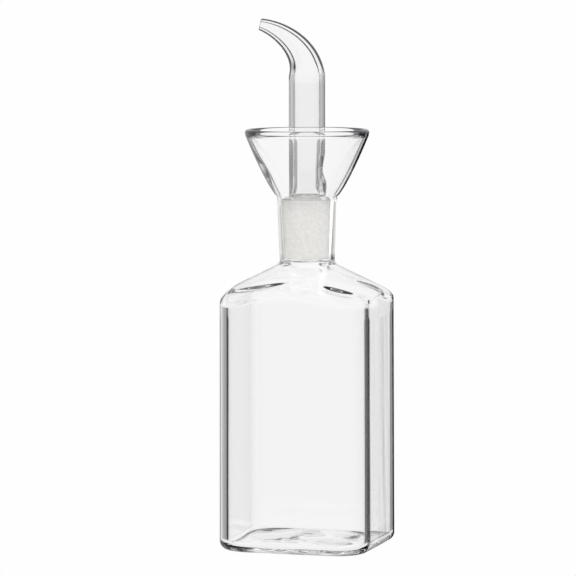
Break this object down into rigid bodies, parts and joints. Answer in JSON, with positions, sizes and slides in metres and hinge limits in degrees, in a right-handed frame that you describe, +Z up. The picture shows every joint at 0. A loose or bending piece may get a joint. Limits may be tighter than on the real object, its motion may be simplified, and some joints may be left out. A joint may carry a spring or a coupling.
{
  "type": "oil dispenser",
  "caption": "Square clear glass oil bottle with a sloping shoulder, a round neck, a drip funnel and a curved glass pouring spout seated in its ground neck.",
  "frame": {"origin": "Centre of the underside, where the bottle stands.", "axes": "+Z is up, the bottle's front face looks to -Y, and the spout pours to -X, turned 17 degrees to the front."},
  "size_m": [0.07, 0.07, 0.2379],
  "materials": {
    "bottle_glass": "clear, fire polished",
    "spout_glass": "clear tube, plug ground matt"
  },
  "bodies": {
    "root": {"bottle": "bottle_glass", "spout": "spout_glass"}
  },
  "joints": []
}
